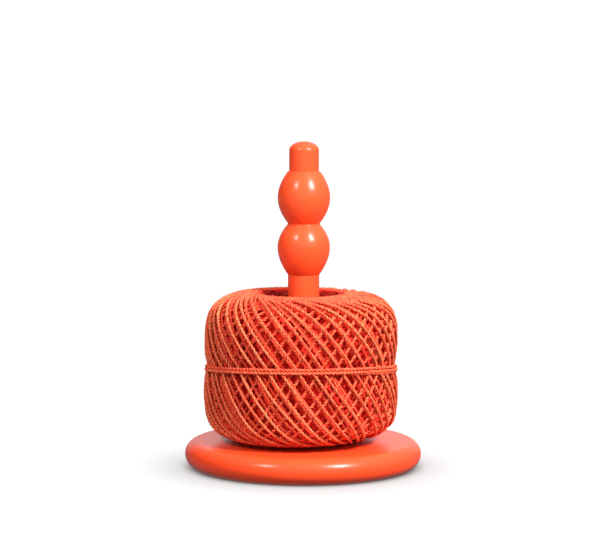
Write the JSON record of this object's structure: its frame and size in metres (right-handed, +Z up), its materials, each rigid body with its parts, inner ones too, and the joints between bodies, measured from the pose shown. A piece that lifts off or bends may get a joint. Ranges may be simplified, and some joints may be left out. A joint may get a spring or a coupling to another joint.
{
  "type": "ball of twine on a turned stand",
  "caption": "Cross-wound ball of orange twine sitting over the post of a lacquered turned wooden stand with a round base, two beads and a small domed cap.",
  "frame": {"origin": "middle of the round base's underside, where the stand rests", "axes": "+Z up along the spindle, -Y towards the side that the picture shows, +X to the viewer's right"},
  "size_m": [0.1176, 0.1176, 0.1624],
  "materials": {
    "lacquered_wood": "opaque orange-red satin lacquer over turned wood",
    "twine": "matte two-ply twine dyed orange-red, with short loose fibres"
  },
  "bodies": {
    "root": {"base": "lacquered_wood", "spindle": "lacquered_wood", "twine_ball": "twine"}
  },
  "joints": []
}
